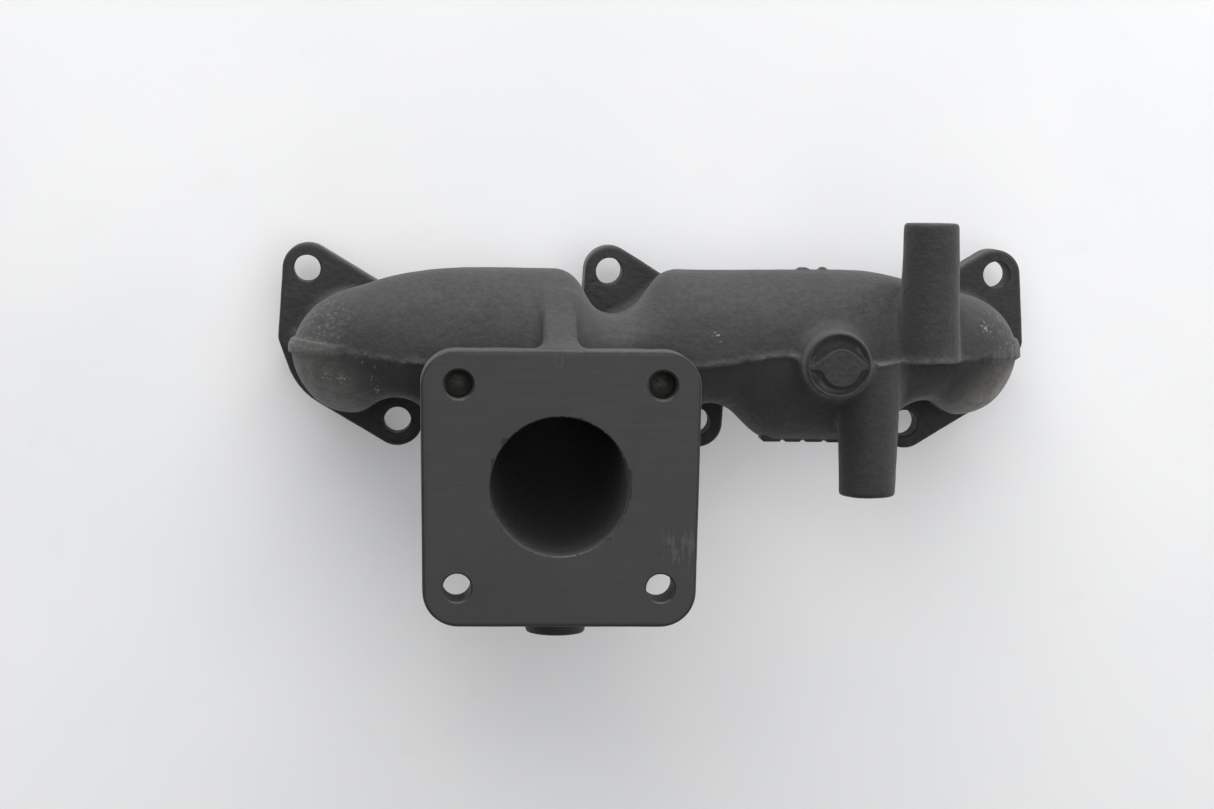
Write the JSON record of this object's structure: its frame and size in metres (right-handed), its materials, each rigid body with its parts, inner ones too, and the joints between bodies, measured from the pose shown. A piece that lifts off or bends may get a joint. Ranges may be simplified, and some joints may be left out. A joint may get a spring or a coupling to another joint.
{
  "type": "exhaust manifold",
  "caption": "Cast iron exhaust manifold: in-line head flanges open into a common log that turns out through an elbow to a square bolted outlet flange.",
  "frame": {"origin": "middle of the bottom of the bounding box: on the plane of the head faces, half way between port 1's and port 3's outer edges, and half way between the upper post's end and the elbow boss's end", "axes": "+Z points out of the cylinder head, from the head faces to the outlet face; +X runs along the log from port 1 to port 3; +Y points away from the outlet, towards the upper post's end"},
  "size_m": [0.2366, 0.1254, 0.08],
  "materials": {
    "cast_skin": "sand-cast skin, dark grey, dull, fine grain",
    "machined_iron": "flange iron, dark grey, finer and smoother than the cast skin"
  },
  "bodies": {
    "root": {"port_flange_1": "machined_iron", "port_flange_2": "machined_iron", "port_flange_3": "machined_iron", "port_1_end": "cast_skin", "log_left": "cast_skin", "port_2_tee": "cast_skin", "log_right": "cast_skin", "port_3_end": "cast_skin", "outlet_elbow": "cast_skin", "outlet_flange": "machined_iron", "gusset_rib": "cast_skin", "gate_boss": "cast_skin", "upper_bracket_post": "cast_skin", "lower_bracket_post": "cast_skin", "elbow_boss": "cast_skin"}
  },
  "joints": []
}
